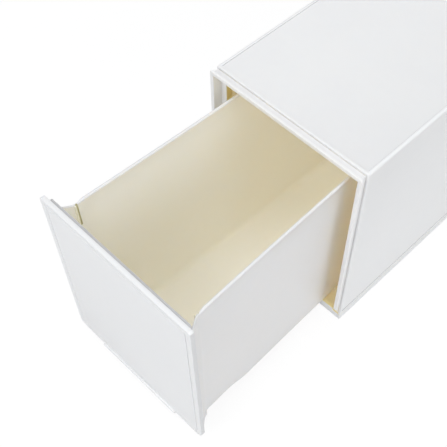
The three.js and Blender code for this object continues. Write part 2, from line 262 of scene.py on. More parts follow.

# %% [markdown]
# ## Light through the walls
#
# A wall of milky plastic lets daylight through, so the inside of the case isn't black. More scattering
# below the surface could carry that light, but here it darkened the outside and brought no gain
# inside. So a Translucent shader, mixed into the plastic, passes a share of the light on. On the outer
# skin it acts only on back faces: light comes in there, and the warm light painted into the cavity's
# colour stays inside.

# %% Light through the walls


def let_light_in(material, share, from_behind_only):
    """Passes a share of the light through the wall, from both sides or only from behind."""
    tree = material.node_tree
    plastic = tree.nodes["Principled BSDF"].outputs["BSDF"]
    passing = add_node(tree, "ShaderNodeBsdfTranslucent", Color=(1.0, 1.0, 1.0, 1)).outputs["BSDF"]
    if from_behind_only:
        behind = tree.nodes.new("ShaderNodeNewGeometry").outputs["Backfacing"]
        share = value_range(tree, behind, 0.0, 1.0, 0.0, share)
    both = mixed_shaders(tree, share, plastic, passing)
    tree.links.new(both, tree.nodes["Material Output"].inputs["Surface"])


print("walls can pass light, from both sides or only inward")

# %% [markdown]
# ## The plastics of this case
#
# All pieces are the same plastic, yet they don't look the same. Every bounce between pale walls makes
# light a little warmer, so the insides of the case and drawer look cream and the outside cool. A lamp
# and enough bounces could do this alone, but slowly and with less control. Here that warm light is
# painted into the colour of the inner walls, cream in the drawer and gold in the case, with a painted
# highlight on the small ribs. Shade is painted too, as darker plastics on the tub's outside and on the
# narrow seams, grooves and edges.

# %% The plastics
# each: name, pale colour, deep colour, milkiness, roughness, grain
case_plastic = polypropylene("case_plastic", (0.90, 0.905, 0.91), (0.885, 0.89, 0.90), 0.12, 0.42, 0.25)
frame_plastic = polypropylene(
    "frame_plastic", (0.945, 0.945, 0.94), (0.93, 0.93, 0.93), 0.15, 0.36, 0.2,
)
# The tub's outer plastic is the case's plastic painted darker: painted shade on the tub's outside,
# skirts, stops and backing sheet.
tub_painted_shade_plastic = polypropylene("tub_painted_shade_plastic", (0.80, 0.80, 0.807), (0.785, 0.785, 0.792), 0.6, 0.4, 0.2)
# The inner plastic is painted cream: warm bounce light inside the drawer and the frame's recess, painted
# into its colour.
inner_painted_light_plastic = polypropylene(
    "inner_painted_light_plastic", (0.948, 0.930, 0.868), (0.942, 0.922, 0.850), 0.5, 0.45, 0.2,
)
plate_plastic = polypropylene(
    "plate_plastic", (0.87, 0.875, 0.885), (0.86, 0.865, 0.875), 0.12, 0.38, 0.2,
)
# The cavity plastic is painted gold: the warm light that bounces round inside the case, painted into its
# colour.
cavity_painted_light_plastic = polypropylene("cavity_painted_light_plastic", (0.97, 0.82, 0.36), (0.96, 0.80, 0.33), 0.4, 0.5, 0.2)
# The ceiling plastic is painted pale cream: warm light on the cavity's ceiling and back, painted into
# its colour.
ceiling_painted_light_plastic = polypropylene(
    "ceiling_painted_light_plastic", (0.975, 0.955, 0.87), (0.965, 0.945, 0.85), 0.4, 0.5, 0.2,
)
# The groove plastic is painted dark olive: shade in the narrow groove behind each rib inside the tub.
groove_painted_shade_plastic = polypropylene("groove_painted_shade_plastic", (0.66, 0.63, 0.42), (0.62, 0.59, 0.38), 0.1, 0.5, 0.2)
# The rib plastic is painted pale yellow: a warm highlight where the rib's edge catches light.
rib_painted_highlight_plastic = polypropylene("rib_painted_highlight_plastic", (0.95, 0.93, 0.78), (0.94, 0.915, 0.75), 0.3, 0.5, 0.2)
# The seam plastic is painted grey: contact shade at the foot of the panels' raised borders and on the
# backing sheet's edges behind the face plate.
painted_contact_shade_plastic = polypropylene("painted_contact_shade_plastic", (0.60, 0.60, 0.61), (0.56, 0.56, 0.57), 0.1, 0.6, 0.2)
# The plate's edge plastic is painted darker grey: shade on the face plate's narrow side edges.
plate_edge_painted_shade_plastic = polypropylene("plate_edge_painted_shade_plastic", (0.74, 0.745, 0.755), (0.72, 0.725, 0.735), 0.12, 0.5, 0.2)
# The band plastic is a little darker than the frame's: painted shade in the recessed band of the groove
# behind the flange.
band_painted_shade_plastic = polypropylene("band_painted_shade_plastic", (0.90, 0.90, 0.90), (0.88, 0.88, 0.885), 0.12, 0.45, 0.2)

let_light_in(case_plastic, 0.6, True)
let_light_in(cavity_painted_light_plastic, 0.25, False)
let_light_in(ceiling_painted_light_plastic, 0.25, False)
print("plastics:", [m.name for m in bpy.data.materials if m.name.endswith("plastic")])

# %% [markdown]
# ## Corners that gather shade
#
# The shadow groove behind the flange is darkest in its two inner corners. Ambient occlusion could find
# them, but it costs time in every sample. The groove is straight, so a ramp along its depth, which
# multiplies the plastic's colour, does the same.

# %% Darker ends


def darken_ends(material, axis, low, high, dark):
    """Darkens a plastic in the corners at both ends of a stretch along one axis."""
    tree = material.node_tree
    shader = tree.nodes["Principled BSDF"]
    place = tree.nodes.new("ShaderNodeTexCoord").outputs["Object"]
    split = add_node(tree, "ShaderNodeSeparateXYZ", Vector=place)
    along = value_range(tree, split.outputs[axis], low, high, 0.0, 1.0)
    plain = (1.0, 1.0, 1.0)
    clear_from = 0.14
    clear_to = 0.84
    shade = colour_ramp(tree, along, [(0.0, dark), (clear_from, plain), (clear_to, plain), (1.0, dark)])
    mix = tree.nodes.new("ShaderNodeMix")
    mix.data_type = "RGBA"
    mix.blend_type = "MULTIPLY"
    mix.inputs["Factor"].default_value = 1.0
    first, second = [socket for socket in mix.inputs if socket.type == "RGBA"]
    tree.links.new(shader.inputs["Base Color"].links[0].from_socket, first)
    tree.links.new(shade, second)
    result = [socket for socket in mix.outputs if socket.type == "RGBA"][0]
    tree.links.new(result, shader.inputs["Base Color"])


darken_ends(band_painted_shade_plastic, "Y", frame_low.y + flange_depth, shell_low.y, (0.5, 0.5, 0.51))
print("groove shaded between", round(frame_low.y + flange_depth, 4), "and", round(shell_low.y, 4))

# %% [markdown]
# ## Rounded mouldings
#
# No moulded edge is truly sharp. The flat-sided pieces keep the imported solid's exact shape: a copy is
# merged, its flat triangles are dissolved into whole faces, and a Bevel rounds every edge that turns
# by more than 30 degrees. The result is frozen into a plain mesh. Its faces then pick their plastic by
# where they lie and which way they look.

# %% Finished pieces
facing = 0.5  # the least part of a face's normal along an axis for it to face that way


def link_piece(name, mesh, body, nodes):
    """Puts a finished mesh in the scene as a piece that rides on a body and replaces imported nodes."""
    piece = bpy.data.objects.new(name, mesh)
    bpy.context.scene.collection.objects.link(piece)
    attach(piece, body)
    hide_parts(*nodes)


def frozen(source, name):
    """The evaluated mesh of an object with its modifiers, as a plain mesh."""
    bpy.context.view_layer.update()
    graph = bpy.context.evaluated_depsgraph_get()
    mesh = bpy.data.meshes.new_from_object(source.evaluated_get(graph))
    mesh.name = name
    return mesh


def smooth_by_angle(mesh, degrees):
    """Smooth shading that stays sharp across edges steeper than the angle."""
    mesh.shade_smooth()
    mesh.set_sharp_from_angle(angle=math.radians(degrees))


def paint(mesh, materials, pick):
    """Gives each face the material whose place in the list pick returns for its centre and normal."""
    mesh.materials.clear()
    for material in materials:
        mesh.materials.append(material)
    for face in mesh.polygons:
        face.material_index = int(pick(face.center, face.normal))


# %% Rounded copies of flat-sided pieces
same_place = 0.001 * MM
flat_turn = 0.5  # degrees between triangles of one flat face, at most
edge_turn = 30  # degrees from which an edge is rounded
shade_turn = 35  # degrees from which an edge stays sharp in the shading


def rounded(mesh, name, radius, segments=3):
    """The mesh with every hard edge rounded."""
    shape = bmesh.new()
    shape.from_mesh(mesh)
    bmesh.ops.remove_doubles(shape, verts=shape.verts, dist=same_place)
    bmesh.ops.dissolve_limit(
        shape, angle_limit=math.radians(flat_turn), verts=shape.verts, edges=shape.edges,
    )
    shape.to_mesh(mesh)
    shape.free()
    holder = bpy.data.objects.new("holder", mesh)
    bpy.context.scene.collection.objects.link(holder)
    bevel = holder.modifiers.new("bevel", "BEVEL")
    bevel.width = radius
    bevel.segments = segments
    bevel.limit_method = "ANGLE"
    bevel.angle_limit = math.radians(edge_turn)
    bevel.miter_outer = "MITER_ARC"
    result = frozen(holder, name)
    bpy.data.objects.remove(holder)
    smooth_by_angle(result, shade_turn)
    return result


def rounded_mesh(node):
    """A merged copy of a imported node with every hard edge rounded."""
    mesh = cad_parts[node].data.copy()
    mesh.materials.clear()
    return rounded(mesh, node + "_mesh", edge_radius)


print("edges rounded to", edge_radius / MM, "mm where they turn by more than", edge_turn, "degrees")

# %% [markdown]
# ## Small closed forms
#
# Ribs, rails, sills and stops are straight blocks and prisms. They could each be a separate object, but
# a moulding is one body, so each is a closed mesh that a boolean joins to its wall or cuts from it.

# %% Small closed forms


def prism_mesh(name, points, low, high):
    """An upright prism over an outline."""
    shape = bmesh.new()
    foot = [shape.verts.new((x, y, low)) for x, y in points]
    head = [shape.verts.new((x, y, high)) for x, y in points]
    for i in range(len(points)):
        j = (i + 1) % len(points)
        shape.faces.new((foot[i], foot[j], head[j], head[i]))
    shape.faces.new(foot[::-1])
    shape.faces.new(head)
    bmesh.ops.recalc_face_normals(shape, faces=shape.faces)
    mesh = bpy.data.meshes.new(name)
    shape.to_mesh(mesh)
    shape.free()
    return mesh


def box_mesh(name, low, high):
    """A closed box between two corners."""
    points = [(low[0], low[1]), (high[0], low[1]), (high[0], high[1]), (low[0], high[1])]
    return prism_mesh(name, points, low[2], high[2])


def both_sides(low, high):
    """A box on the right and its twin on the left, each as (low, high)."""
    return [(low, high), ((-high[0], low[1], low[2]), (-low[0], high[1], high[2]))]


def twin_blocks(name, low, high):
    """A closed box on the right and its twin on the left."""
    return [box_mesh(name, *corners) for corners in both_sides(low, high)]


print("closed forms: prisms, boxes and twins")

# %% Joining and cutting


def combined(mesh, operation, others):
    """The mesh joined with others or less them, frozen."""
    target = bpy.data.objects.new("target", mesh)
    bpy.context.scene.collection.objects.link(target)
    helpers = []
    for other in others:
        helper = bpy.data.objects.new("helper", other)
        bpy.context.scene.collection.objects.link(helper)
        modifier = target.modifiers.new("combine", "BOOLEAN")
        modifier.operation = operation
        modifier.solver = "EXACT"
        modifier.object = helper
        helpers.append(helper)
    result = frozen(target, mesh.name)
    for extra in helpers + [target]:
        bpy.data.objects.remove(extra)
    return result


print("booleans join closed forms and cut them away")

# %% [markdown]
# ## Patterns that repeat
#
# Two things on this case follow a rule: the four pegs that hold the drawer front, on a grid, and the
# cross ribs under the tray, on a line, every other one short. A node tree states such a rule once, with
# its sizes as inputs. The tree ends in real geometry, which is frozen into a plain mesh.

# %% Node trees for patterns


def node_group(name, sockets):
    """A geometry node tree with named inputs, and its input and output nodes."""
    tree = bpy.data.node_groups.new(name, "GeometryNodeTree")
    for label, kind in sockets:
        tree.interface.new_socket(label, in_out="INPUT", socket_type=kind)
    tree.interface.new_socket("Geometry", in_out="OUTPUT", socket_type="NodeSocketGeometry")
    return tree, tree.nodes.new("NodeGroupInput").outputs, tree.nodes.new("NodeGroupOutput").inputs


def finish_pattern(tree, points, form, rotation, scale, material, result):
    """Puts the form on the points, makes it real geometry and gives it its material."""
    spread = add_node(
        tree, "GeometryNodeInstanceOnPoints", Points=points, Instance=form, Rotation=rotation,
        Scale=scale,
    )
    real = add_node(tree, "GeometryNodeRealizeInstances", Geometry=spread.outputs["Instances"])
    painted = add_node(
        tree, "GeometryNodeSetMaterial", Geometry=real.outputs["Geometry"], Material=material,
    )
    tree.links.new(painted.outputs["Geometry"], result["Geometry"])


def generated_mesh(name, tree, values):
    """Runs a tree with values for its named inputs and freezes what it makes."""
    holder = bpy.data.objects.new("holder", bpy.data.meshes.new("empty"))
    bpy.context.scene.collection.objects.link(holder)
    modifier = holder.modifiers.new("pattern", "NODES")
    modifier.node_group = tree
    for item in tree.interface.items_tree:
        if item.in_out == "INPUT":
            modifier[item.identifier] = values[item.name]
    mesh = frozen(holder, name)
    holder.modifiers.remove(modifier)
    bpy.data.objects.remove(holder)
    return mesh


print("patterns run as node trees and end as plain meshes")

# %% The peg pattern
quarter_turn = (math.radians(90), 0.0, 0.0)
peg_sides = 40


def peg_pattern():
    """Pegs on an upright grid of two by two."""
    tree, given, result = node_group("peg_pattern", [
        ("Radius", "NodeSocketFloat"), ("Length", "NodeSocketFloat"), ("Across", "NodeSocketFloat"),
        ("Up", "NodeSocketFloat"), ("Centre", "NodeSocketVector"), ("Material", "NodeSocketMaterial"),
    ])
    grid = add_node(
        tree, "GeometryNodeMeshGrid", Size_X=given["Across"], Size_Y=given["Up"], Vertices_X=2,
        Vertices_Y=2,
    )
    upright = add_node(
        tree, "GeometryNodeTransform", Geometry=grid.outputs["Mesh"], Translation=given["Centre"],
        Rotation=quarter_turn,
    )
    peg = add_node(
        tree, "GeometryNodeMeshCylinder", Vertices=peg_sides, Radius=given["Radius"],
        Depth=given["Length"],
    )
    finish_pattern(
        tree, upright.outputs["Geometry"], peg.outputs["Mesh"], quarter_turn, (1.0, 1.0, 1.0),
        given["Material"], result,
    )
    return tree


print("each peg has", peg_sides, "sides")

# %% The rib pattern


def rib_pattern():
    """Cross ribs on a line, of which the first, third and so on stop short of what is below."""
    tree, given, result = node_group("rib_pattern", [
        ("Count", "NodeSocketInt"), ("Length", "NodeSocketFloat"), ("Wall", "NodeSocketFloat"),
        ("Height", "NodeSocketFloat"), ("Lift", "NodeSocketFloat"), ("First", "NodeSocketVector"),
        ("Step", "NodeSocketVector"), ("Material", "NodeSocketMaterial"),
    ])
    line = add_node(
        tree, "GeometryNodeMeshLine", Count=given["Count"], Start_Location=given["First"],
        Offset=given["Step"],
    )
    size = add_node(tree, "ShaderNodeCombineXYZ", X=given["Length"], Y=given["Wall"], Z=given["Height"])
    rib = add_node(tree, "GeometryNodeMeshCube", Size=size.outputs["Vector"])
    half_height = math_of(tree, "MULTIPLY", given["Height"], -0.5)
    below = add_node(tree, "ShaderNodeCombineXYZ", Z=half_height)
    hung = add_node(
        tree, "GeometryNodeTransform", Geometry=rib.outputs["Mesh"],
        Translation=below.outputs["Vector"],
    )
    place = tree.nodes.new("GeometryNodeInputIndex").outputs["Index"]
    is_short = math_of(tree, "SUBTRACT", 1.0, math_of(tree, "MODULO", place, 2.0))
    cut = math_of(tree, "DIVIDE", given["Lift"], given["Height"])
    share = math_of(tree, "SUBTRACT", 1.0, math_of(tree, "MULTIPLY", is_short, cut))
    scale = add_node(tree, "ShaderNodeCombineXYZ", X=1.0, Y=1.0, Z=share)
    finish_pattern(
        tree, line.outputs["Mesh"], hung.outputs["Geometry"], (0.0, 0.0, 0.0),
        scale.outputs["Vector"], given["Material"], result,
    )
    return tree


print("two patterns: pegs on a grid, ribs on a line")

# %% [markdown]
# ## The case
#
# The case is three mouldings: a shell with top, sides and back, a tray below it and a frame plugged
# into its mouth. Little light reaches its cavity, and what does has crossed the plastic many times,
# which turns it warm. That warm light is painted into the inner walls as a warmer plastic than the
# outside: the sides the warmest, a painted gold, and the ceiling and back, which daylight reaches
# through the top, a paler one. The fine corners round the panels take painted shade.

# %% Case shell
shell_mesh = rounded_mesh("case_shell")
cavity_margin = 0.35 * MM
panel_recess = 0.7 * MM
foot_reach = 0.32 * MM
foot_gap = 0.01 * MM


def in_case_cavity(centre):
    """True on the shell's inner walls, behind its mouth."""
    reach = shell_wall - cavity_margin
    within_sides = abs(centre.x) < shell_high.x - reach
    below_top = centre.z < shell_high.z - reach
    before_back = centre.y < shell_high.y - reach
    behind_mouth = centre.y > shell_low.y + 2 * cavity_margin
    return within_sides and below_top and before_back and behind_mouth


def at_panel_foot(centre):
    """True in the fine inner corner where a recessed panel meets its raised border."""
    depths = (shell_high.x - abs(centre.x), shell_high.z - centre.z, shell_high.y - centre.y)
    return any(panel_recess - foot_reach < depth < panel_recess - foot_gap for depth in depths)


def on_a_panel(centre):
    """True on the sides, top and back within their raised borders."""
    reach = border_width - foot_reach
    within = abs(centre.x) < shell_high.x - reach
    along = shell_low.y + reach < centre.y < shell_high.y - reach
    below = centre.z < shell_high.z - reach
    return (along and (within or below)) or (within and below)


def shell_material(centre, normal):
    """0 outside, 1 on the cavity's sides, 2 in corners round the panels, 3 on its ceiling and back."""
    if in_case_cavity(centre):
        return 1 if abs(normal.x) > facing else 3
    return 2 if on_a_panel(centre) and at_panel_foot(centre) else 0


# The cavity's sides take painted golden light, its ceiling and back painted pale warm light, and the
# corners round the panels painted contact shade.
paint(shell_mesh, [case_plastic, cavity_painted_light_plastic, painted_contact_shade_plastic, ceiling_painted_light_plastic], shell_material)
link_piece("case_outer_shell", shell_mesh, "case", ["case_shell"])
print("shell faces", len(shell_mesh.polygons))

# %% [markdown]
# ## The base tray
#
# The tray is the case's floor. The shell stands on it and clips to its tongues, the drawer runs on its
# two rails between two guides, and ribs below keep the thin floor flat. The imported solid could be
# rounded like the shell, but its many small joints would break the bevel. So it is built again from
# blocks that overlap a little, joined by one boolean, and the repeated cross ribs come from a pattern.

# %% Sizes of the tray
tray_floor_top = 6.0 * MM
tray_floor = 2.0 * MM
tray_skirt = 2.0 * MM
sill_height = 2.2 * MM
sill_depth = 3.5 * MM
rail_height = 2.5 * MM
rail_inside = 38.8 * MM
rail_width = 2.4 * MM
guide_side = 62.0 * MM
guide_width = 1.8 * MM
guide_height = 12.0 * MM
guide_run_in = 8.0 * MM
tongue_height = 5.0 * MM
tongue_wall = 1.5 * MM
seat = 0.3 * MM
joint = 0.5 * MM
pad_size = 14.0 * MM
under_wall = 1.4 * MM
under_count = 5
under_lift = 1.0 * MM
tray_edge_radius = 0.25 * MM
print("tray", [round(v, 4) for v in tray_high - tray_low], "cross ribs", under_count)

# %% The tray's blocks
under_top = tray_floor_top - tray_floor + joint
frame_back = frame_high.y
shell_back = shell_high.y - shell_wall


def tray_blocks():
    """The blocks that stand on the tray's floor: sill, rails and the tongues inside the shell."""
    foot = tray_floor_top - joint
    out = shell_high.x - shell_wall - seat
    rear = shell_back - seat
    rail_low = (rail_inside, tray_low.y + sill_depth - joint, foot)
    rail_high = (rail_inside + rail_width, rear, tray_floor_top + rail_height)
    side_low = (out - tongue_wall, frame_back + seat, foot)
    side_high = (out, rear, tray_floor_top + tongue_height)
    sill_high = (guide_side, tray_low.y + sill_depth, tray_floor_top + sill_height)
    rear_low = (-out, rear - tongue_wall, foot)
    blocks = [((-guide_side, tray_low.y, foot), sill_high), (rear_low, side_high)]
    return blocks + both_sides(rail_low, rail_high) + both_sides(side_low, side_high)


def under_blocks():
    """The blocks below the floor: the long middle rib and the pads."""
    edge = tray_high.x - joint
    half_wall = under_wall / 2
    half_pad = pad_size / 2
    blocks = [
        ((-half_wall, tray_low.y + joint, under_lift), (half_wall, tray_high.y - joint, under_top)),
        ((-half_pad, -half_pad, 0.0), (half_pad, half_pad, under_top)),
    ]
    for y in (tray_low.y + joint, tray_high.y - joint - pad_size):
        blocks += both_sides((edge - pad_size, y, 0.0), (edge, y + pad_size, under_top))
    return blocks


print("blocks on the tray", len(tray_blocks()), "and under it", len(under_blocks()))

# %% The tray's guides
run_in_steps = 8


def guide_mesh(side):
    """An upright guide rib with a curved run-in, drawn from the side."""
    start = frame_back + guide_run_in
    end = shell_back - guide_run_in
    low = tray_floor_top - joint
    high = tray_floor_top + guide_height
    points = [(start, low), (end, low), (end, high), (start + guide_run_in, high)]
    for i in range(1, run_in_steps + 1):
        t = i / run_in_steps
        y = (1 - t) ** 2 * (start + guide_run_in) + 2 * t * (1 - t) * start + t * t * start
        z = (1 - t) ** 2 * high + 2 * t * (1 - t) * high + t * t * tray_floor_top
        points.append((y, z))
    inner = side * guide_side - (guide_width if side > 0 else 0.0)
    mesh = prism_mesh("guide", points, inner, inner + guide_width)
    mesh.transform(Matrix(((0, 0, 1, 0), (1, 0, 0, 0), (0, 1, 0, 0), (0, 0, 0, 1))))
    return mesh


print("guides from", round(frame_back + guide_run_in, 4), "to", round(shell_back - guide_run_in, 4))

# %% Base tray
rib_step = (tray_high.y - tray_low.y) / (under_count + 1)
cross_ribs = generated_mesh("cross_ribs", rib_pattern(), {
    "Count": under_count, "Length": 2 * (tray_high.x - joint), "Wall": under_wall,
    "Height": under_top, "Lift": under_lift, "First": (0.0, tray_low.y + rib_step, under_top),
    "Step": (0.0, rib_step, 0.0), "Material": case_plastic,
})
cross_ribs.materials.clear()
inner_edge = tray_high.x - tray_skirt
tray_body = box_mesh(
    "tray", (-tray_high.x, tray_low.y, 0.0), (tray_high.x, tray_high.y, tray_floor_top),
)
tray_hollow = box_mesh(
    "hollow", (-inner_edge, tray_low.y + tray_skirt, -tray_floor_top),
    (inner_edge, tray_high.y - tray_skirt, tray_floor_top - tray_floor),
)
tray_body = combined(tray_body, "DIFFERENCE", [tray_hollow])
tray_parts = [box_mesh("block", low, high) for low, high in tray_blocks() + under_blocks()]
tray_parts += [guide_mesh(side) for side in (-1, 1)] + [cross_ribs]
tray_whole = combined(tray_body, "UNION", tray_parts)
tray_mesh = rounded(tray_whole, "base_tray_mesh", tray_edge_radius, segments=2)


def on_tray_floor(centre, normal):
    """True above the tray's floor, inside the case."""
    return centre.z > tray_floor_top - joint and abs(centre.x) < shell_high.x - shell_wall


# The tray's floor inside the case takes painted golden light.
paint(tray_mesh, [case_plastic, cavity_painted_light_plastic], on_tray_floor)
link_piece("case_base_tray", tray_mesh, "case", ["base_tray"])
print("tray faces", len(tray_mesh.polygons), "cross rib faces", len(cross_ribs.polygons))

# %% [markdown]
# ## The front frame
#
# The frame is a separate moulding that stiffens the mouth and hides the edge of the shell. It has a
# flange in front, a shadow groove behind it, a recess that takes the drawer's front, an inner strip,
# and a plug that enters the shell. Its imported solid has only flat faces, so it is rounded like the
# shell, and each face picks its plastic by how deep it lies and which way it looks.

# %% Front frame
frame_mesh = rounded_mesh("front_frame")
strip_depth = 1.0 * MM
recess_margin = 0.2 * MM
groove_sink = 1.6 * MM
groove_margin = 0.4 * MM
groove_side = frame_high.x - groove_sink
groove_top = frame_high.z - groove_sink


def frame_material(centre, normal):
    """0 on flange and strip, 1 behind the strip, 2 in the groove outside, 3 on the recess's walls."""
    depth = centre.y - frame_low.y
    if depth > recess_depth + strip_depth:
        return 1
    if flange_depth < depth < recess_depth - recess_margin and normal.x * centre.x < 0:
        return 3
    outward = normal.x * centre.x > 0 or normal.z > facing
    in_groove = max(abs(centre.x) - groove_side, centre.z - groove_top) < groove_margin
    return 2 if flange_depth < depth < shell_low.y - frame_low.y and outward and in_groove else 0


# Behind the strip the faces take painted golden light, the groove's band painted shade, and the recess's
# walls painted warm light.
paint(frame_mesh, [frame_plastic, cavity_painted_light_plastic, band_painted_shade_plastic, inner_painted_light_plastic], frame_material)
link_piece("case_front_frame", frame_mesh, "case", ["front_frame"])
print("frame faces", len(frame_mesh.polygons))

# %% [markdown]
# ## The drawer front
#
# Behind the plate lies a thin sheet. Four pegs on its back sit in holes in the tub's front wall and
# hold both together. The sheet is an outline raised to its thickness, which gives it true round
# corners, and the pegs are a pattern, so that one set of sizes places all four.

# %% Sizes of the drawer front
sheet_thickness = 2.0 * MM
sheet_radius = 2.4 * MM
sheet_lower_radius = 7.0 * MM
peg_radius = 3.5 * MM
peg_half_spacing = 38.0 * MM
peg_heights = (33.8 * MM, 150.3 * MM)
corner_steps = 8


def rounded_outline(half, low, high, low_radius, high_radius):
    """A front-view outline with round corners, anticlockwise from the lower right."""
    corners = [
        (half - low_radius, low + low_radius, low_radius, -90),
        (half - high_radius, high - high_radius, high_radius, 0),
        (high_radius - half, high - high_radius, high_radius, 90),
        (low_radius - half, low + low_radius, low_radius, 180),
    ]
    points = []
    for x, z, radius, first in corners:
        for i in range(corner_steps + 1):
            angle = math.radians(first + 90 * i / corner_steps)
            points.append((x + radius * math.cos(angle), z + radius * math.sin(angle)))
    return points


print("sheet", round(2 * back_high.x, 4), "wide, pegs at heights", [round(z, 4) for z in peg_heights])

# %% Drawer front
sheet = prism_mesh(
    "sheet", rounded_outline(back_high.x, back_low.z, back_high.z, sheet_lower_radius, sheet_radius),
    -back_low.y - sheet_thickness, -back_low.y,
)
sheet.transform(Matrix(((1, 0, 0, 0), (0, 0, -1, 0), (0, 1, 0, 0), (0, 0, 0, 1))))
peg_front = back_low.y + sheet_thickness - joint
front_pegs = generated_mesh("front_pegs", peg_pattern(), {
    "Radius": peg_radius, "Length": back_high.y - peg_front, "Across": 2 * peg_half_spacing,
    "Up": peg_heights[1] - peg_heights[0],
    "Centre": (0.0, (back_high.y + peg_front) / 2, sum(peg_heights) / 2),
    "Material": tub_painted_shade_plastic,
})
front_pegs.materials.clear()
back_mesh = rounded(combined(sheet, "UNION", [front_pegs]), "drawer_front_mesh", edge_radius)


def on_sheet_edge(centre, normal):
    """True on the sheet's narrow edges, which lie in the shade behind the face plate."""
    return centre.y < back_low.y + sheet_thickness + joint and abs(normal.y) < facing


# The sheet's narrow edges take painted shade, a darker plastic where the face plate shades them.
paint(back_mesh, [tub_painted_shade_plastic, painted_contact_shade_plastic], on_sheet_edge)
link_piece("drawer_front_backing", back_mesh, "drawer", ["drawer_front"])
print("drawer front faces", len(back_mesh.polygons), "peg faces", len(front_pegs.polygons))

# %% [markdown]
# ## The face plate
#
# The plate is what a hand meets: a flat front with a fine groove round its border and a small ledge
# below to pull on. The groove could be a dark line in the material, but a real step catches light
# along one side and shade along the other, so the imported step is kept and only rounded.

# %% Face plate
plate_mesh = rounded_mesh("face_plate")
squarely_sideways = 0.8


def on_plate_edge(centre, normal):
    """True on the plate's narrow side edges."""
    return abs(normal.x) > squarely_sideways and plate_high.x - abs(centre.x) < edge_radius


# The plate's side edges take painted shade, a darker plastic.
paint(plate_mesh, [plate_plastic, plate_edge_painted_shade_plastic], on_plate_edge)
link_piece("drawer_face_plate", plate_mesh, "drawer", ["face_plate"])
print("face plate faces", len(plate_mesh.polygons))

# %% [markdown]
# ## The drawer tub
#
# The tub is the piece that shows most. It is a thin wall that leans out a little from floor to rim,
# narrows towards the rear, spreads into a flare at the front, turns into the floor with a soft radius
# and ends in a rounded rim. All of this is one profile swept round one plan outline, so the mesh is a
# stack of closed rings: up the outside, over the rim and down the inside.

# %% Sizes of the tub
tub_wall = 1.6 * MM
tub_floor = 2.0 * MM
tub_draft = 2.2 * MM
tub_side = 59.0 * MM
tub_narrowing = 15.5 * MM
tub_corner = 9.0 * MM
tub_fillet = 6.0 * MM
least_radius = 1.5 * MM
front_corner = 0.8 * MM
flare_reach = 11.0 * MM
flare_power = 1.35
rim_bead = 0.45 * MM
neck_bead = 0.1 * rim_bead
bead_height = 2.4 * MM
bead_start = 12.0 * MM
bead_run = 4.0 * MM
rim_drop = 1.5 * MM
drop_start = 10.5 * MM
drop_run = 7.5 * MM
front_lift = 6.0 * MM
lift_start = 36.0 * MM
lift_run = 20.0 * MM
lift_top = 0.25
drop_foot = 0.6
stop_height = 6.4 * MM

rim_height = tub_high.z - stop_height
tub_length = tub_high.y - rim_bead - tub_low.y
flare_out = tub_high.x - tub_side
print("tub length", round(tub_length, 4), "rim height", round(rim_height, 4))
print("the flare goes out by", round(flare_out, 4))

# %% [markdown]
# ## The outline seen from above
#
# Seen from above, the tub is a long round-cornered box that narrows towards the rear and spreads at
# the front, where it meets the wider plate. A curve with handles could follow this, but then each size
# would need its own hand-made curve. A short function of the distance from the front gives half the
# width anywhere, for any inset, so the outer and inner skins stay an even wall apart.

# %% Half the tub's width


def clamp(value, low=0.0, high=1.0):
    """The value held between two limits."""
    return min(max(value, low), high)


def smooth(value):
    """A smooth step that goes from 0 to 1."""
    t = clamp(value)
    return t * t * (3 - 2 * t)


def fade_behind(distance, start, run):
    """1 in front of start, and 0 from the end of the run behind it."""
    return smooth((start + run - distance) / run)


def flare_share(distance):
    """How far the wall has spread: 1 at the front wall's face, 0 behind the flare."""
    return clamp(1 - distance / flare_reach) ** flare_power


def side_edge(distance, inset, draft):
    """Half the outline's width at a distance behind the front wall's face."""
    share = clamp(distance / tub_length)
    half = tub_side - tub_narrowing / 2 * share * (2 - share)
    return half - inset - draft + (flare_out + draft) * flare_share(distance)


print("half widths", [round(side_edge(share * tub_length, 0.0, 0.0), 4) for share in (0.0, 0.5, 1.0)])

# %% The tub's plan outline
station_counts = (16, 12, 16, 24)
front_steps = 3
rear_steps = 10


def side_stations(first, last):
    """Places along a side wall, closer together where its shape changes."""
    marks = [first, flare_reach, drop_start + drop_run, lift_start + lift_run, last]
    stations = []
    for start, end, count in zip(marks, marks[1:], station_counts):
        stations += [start + (end - start) * i / count for i in range(count)]
    return stations + [last]


def tub_outline(inset, draft, bead):
    """The plan outline drawn in by inset, anticlockwise, and widened by the bead behind its front."""
    radius = max(tub_corner - inset - draft, least_radius)
    rear_centre = tub_length - inset - draft - radius
    right = []
    for y in side_stations(inset + front_corner, rear_centre):
        swell = bead * smooth((y - bead_start) / bead_run)
        right.append((side_edge(y, inset - swell, draft), y))
    corner_x = right[0][0] - front_corner
    front = []
    for i in range(front_steps):
        angle = math.pi / 2 * i / front_steps
        y = inset + front_corner * (1 - math.cos(angle))
        front.append((corner_x + front_corner * math.sin(angle), y))
    rear = []
    for i in range(1, rear_steps + 1):
        angle = math.pi / 2 * i / rear_steps
        y = rear_centre + radius * math.sin(angle)
        edge = side_edge(y, inset, draft)
        rear.append((edge + bead - radius * (1 - math.cos(angle)), y + bead * math.sin(angle)))
    right = front + right + rear
    return right + [(-x, y) for x, y in reversed(right)]


print("points in the outline", len(tub_outline(0.0, 0.0, 0.0)))

# %% [markdown]
# ## The profile of the wall
#
# The wall leans out as it rises, so that the moulding leaves its mould, and meets the floor in a soft
# radius. Its rim is rounded and a little thicker, which keeps so thin a wall from flexing. The profile
# is a list of levels, each with its inset, lean, height and bead, from the outside to the inside.

# %% The tub's profile
fillet_steps = 8
rim_steps = 10
wall_shares = (0.03, 0.1, 0.18, lift_top, 0.4, drop_foot, 0.75, 0.9)


def draft_at(z):
    """How far a wall stands inside its rim at a height."""
    return tub_draft * (1 - (z - tub_low.z) / (rim_height - tub_low.z))


